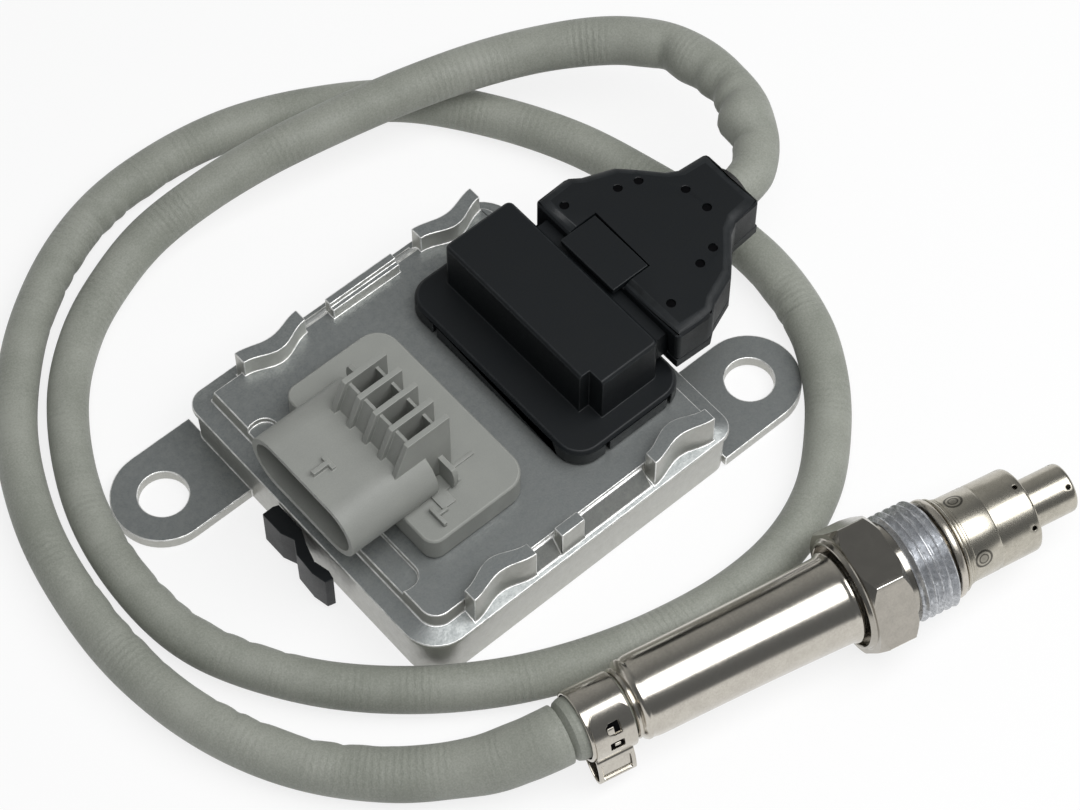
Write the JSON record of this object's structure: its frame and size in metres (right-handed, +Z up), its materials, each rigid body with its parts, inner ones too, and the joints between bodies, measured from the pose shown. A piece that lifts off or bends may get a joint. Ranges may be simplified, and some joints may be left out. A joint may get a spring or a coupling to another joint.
{
  "type": "nitrogen oxide sensor",
  "caption": "Exhaust gas nitrogen oxide sensor: cast control module with two connectors, joined by a sleeved cable to a threaded stainless probe.",
  "frame": {"origin": "centre of the control module's footprint, on the table under its base cover", "axes": "+X along the module from the vehicle connector to the cable plug, +Y across it, away from the probe, +Z up from the table"},
  "size_m": [0.1574, 0.1693, 0.037],
  "materials": {
    "cast_alloy": "die cast, lightly shot blasted",
    "zinc_steel": "zinc plated",
    "stainless": "polished",
    "satin_stainless": "satin",
    "grey_plastic": "moulded",
    "black_plastic": "moulded",
    "grey_sleeve": "ribbed sleeve",
    "dark_rubber": "matt",
    "board_green": "solder mask",
    "chip_black": "moulded",
    "plated_copper": "tin plated",
    "ceramic": "unglazed",
    "talc": "pressed powder",
    "lead_skin": "extruded insulation"
  },
  "bodies": {
    "sensor": {"base_cover": "zinc_steel", "board_screw_1": "zinc_steel", "board_screw_2": "zinc_steel", "board_screw_3": "zinc_steel", "board_screw_4": "zinc_steel", "cable": "grey_sleeve", "cable_grommet": "dark_rubber", "capacitor_1": "zinc_steel", "capacitor_2": "zinc_steel", "ceramic_bush_front": "ceramic", "ceramic_bush_rear": "ceramic", "circuit_board": "board_green", "contact_insulator": "ceramic", "controller_chip": "chip_black", "cover_seal": "dark_rubber", "driver_chip": "chip_black", "ear_clamp": "stainless", "gasket_ring": "satin_stainless", "inner_protection_tube": "satin_stainless", "module_housing": "cast_alloy", "outer_protection_tube": "satin_stainless", "plug_latch": "black_plastic", "plug_lead_1": "lead_skin", "plug_lead_2": "lead_skin", "plug_lead_3": "lead_skin", "plug_lead_4": "lead_skin", "plug_lead_5": "lead_skin", "plug_lower_shell": "black_plastic", "plug_upper_shell": "black_plastic", "probe_lead_1": "lead_skin", "probe_lead_2": "lead_skin", "probe_lead_3": "lead_skin", "probe_lead_4": "lead_skin", "probe_lead_5": "lead_skin", "rear_grommet": "dark_rubber", "rear_tube": "stainless", "sensing_element": "ceramic", "sensor_body": "stainless", "sensor_header": "black_plastic", "sensor_header_seal": "dark_rubber", "sensor_pin_1": "plated_copper", "sensor_pin_2": "plated_copper", "sensor_pin_3": "plated_copper", "sensor_pin_4": "plated_copper", "sensor_pin_5": "plated_copper", "side_clip": "black_plastic", "sleeve_boot": "grey_sleeve", "talc_seal": "talc", "terminal_carrier": "black_plastic", "vehicle_connector": "grey_plastic", "vehicle_connector_seal": "dark_rubber", "vehicle_pin_1": "plated_copper", "vehicle_pin_2": "plated_copper", "vehicle_pin_3": "plated_copper", "vehicle_pin_4": "plated_copper"},
    "fitting": {"hex_fitting": "satin_stainless"}
  },
  "joints": [
    {"name": "fitting_swivel", "type": "hinge", "parent": "sensor", "child": "fitting", "pos_m": [0.03015, -0.06976, 0.011], "axis": [0.9767, -0.2147, 0], "continuous": true}
  ]
}
